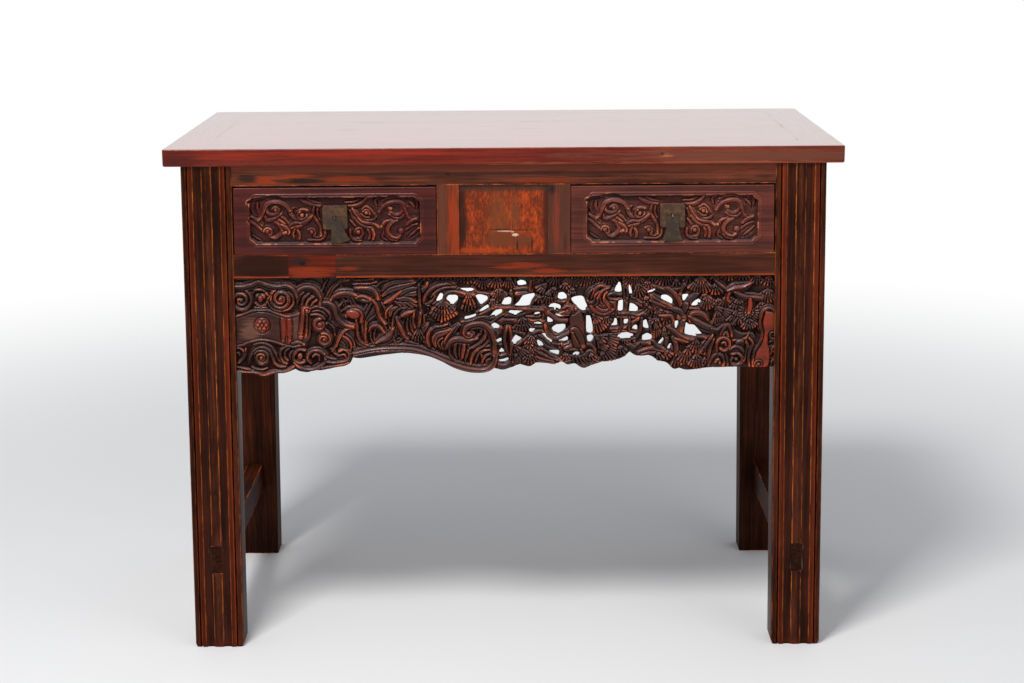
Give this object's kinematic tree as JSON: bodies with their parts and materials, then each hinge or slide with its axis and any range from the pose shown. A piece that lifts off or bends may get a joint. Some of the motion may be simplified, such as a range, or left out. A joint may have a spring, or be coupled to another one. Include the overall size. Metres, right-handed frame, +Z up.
{
  "type": "altar table",
  "caption": "Console-height side table: framed panel top, moulded leaning legs, drawers with carved fronts and hanging pulls, and a deep carved and pierced apron under the front rail.",
  "frame": {"origin": "on the floor, under the middle of the tabletop", "axes": "+X along the table to the right as seen from the front, -Y towards the front, +Z up"},
  "size_m": [1.1, 0.55, 0.86],
  "materials": {
    "top_frame": "dark red-brown lacquer, worn and glossy",
    "top_panel": "red-brown lacquered boards, glossy, with dents and knots",
    "leg_wood": "near-black brown lacquer, orange where the arrises are worn",
    "rail_wood": "mottled red-brown lacquer",
    "post_wood": "worn red-orange lacquer",
    "centre_panel": "worn orange lacquer with dark stains",
    "patch_wood": "lighter orange-red repair",
    "case_wood": "plain dark brown lacquer",
    "drawer_front": "maroon lacquer, carved",
    "carving": "purple-brown lacquer with worn orange ridges",
    "inner_wood": "bare aged softwood",
    "old_brass": "dark bronzed brass, rubbed at the edges"
  },
  "bodies": {
    "frame": {"apron": "carving", "back_lower_rail": "case_wood", "back_panel": "case_wood", "back_upper_rail": "case_wood", "centre_board_left": "centre_panel", "centre_board_right": "centre_panel", "drawer_guide_inner_left": "inner_wood", "drawer_guide_inner_right": "inner_wood", "drawer_guide_outer_left": "inner_wood", "drawer_guide_outer_right": "inner_wood", "drawer_runner_inner_left": "inner_wood", "drawer_runner_inner_right": "inner_wood", "drawer_runner_outer_left": "inner_wood", "drawer_runner_outer_right": "inner_wood", "drawer_stops": "inner_wood", "front_lower_rail": "rail_wood", "front_upper_rail": "rail_wood", "leg_back_left": "leg_wood", "leg_back_right": "leg_wood", "leg_front_left": "leg_wood", "leg_front_right": "leg_wood", "post_left": "post_wood", "post_right": "post_wood", "rail_patch": "patch_wood", "side_lower_rail_left": "case_wood", "side_lower_rail_right": "case_wood", "side_panel_left": "case_wood", "side_panel_right": "case_wood", "side_stretcher_left": "leg_wood", "side_stretcher_right": "leg_wood", "side_upper_rail_left": "case_wood", "side_upper_rail_right": "case_wood", "top_back_rail": "top_frame", "top_battens": "inner_wood", "top_board_back": "top_panel", "top_board_front": "top_panel", "top_board_middle": "top_panel", "top_end_rail_left": "top_frame", "top_end_rail_right": "top_frame", "top_front_rail": "top_frame"},
    "drawer_left": {"drawer_left_back": "inner_wood", "drawer_left_bottom": "inner_wood", "drawer_left_front": "drawer_front", "drawer_left_inner_side": "inner_wood", "drawer_left_outer_side": "inner_wood", "pull_plate_left": "old_brass"},
    "pin_left": {"split_pin_left": "old_brass"},
    "pull_left": {"pull_pendant_left": "old_brass"},
    "drawer_right": {"drawer_right_back": "inner_wood", "drawer_right_bottom": "inner_wood", "drawer_right_front": "drawer_front", "drawer_right_inner_side": "inner_wood", "drawer_right_outer_side": "inner_wood", "pull_plate_right": "old_brass"},
    "pin_right": {"split_pin_right": "old_brass"},
    "pull_right": {"pull_pendant_right": "old_brass"}
  },
  "joints": [
    {"name": "drawer_left_slide", "type": "slide", "parent": "frame", "child": "drawer_left", "axis": [0, -1, 0], "range_m": [0, 0.33]},
    {"name": "split_pin_left_turn", "type": "hinge", "parent": "drawer_left", "child": "pin_left", "pos_m": [-0.2744, -0.2714, 0.74645], "axis": [0, -1, 0], "range_deg": [-32, 8]},
    {"name": "pull_left_swing", "type": "hinge", "parent": "pin_left", "child": "pull_left", "pos_m": [-0.2744, -0.2714, 0.74645], "axis": [-0.9781, 0, -0.2079], "range_deg": [0, 80]},
    {"name": "drawer_right_slide", "type": "slide", "parent": "frame", "child": "drawer_right", "axis": [0, -1, 0], "range_m": [0, 0.33]},
    {"name": "split_pin_right_turn", "type": "hinge", "parent": "drawer_right", "child": "pin_right", "pos_m": [0.2744, -0.2714, 0.74645], "axis": [0, -1, 0], "range_deg": [-20, 20]},
    {"name": "pull_right_swing", "type": "hinge", "parent": "pin_right", "child": "pull_right", "pos_m": [0.2744, -0.2714, 0.74645], "axis": [-1, 0, 0], "range_deg": [0, 80]}
  ]
}
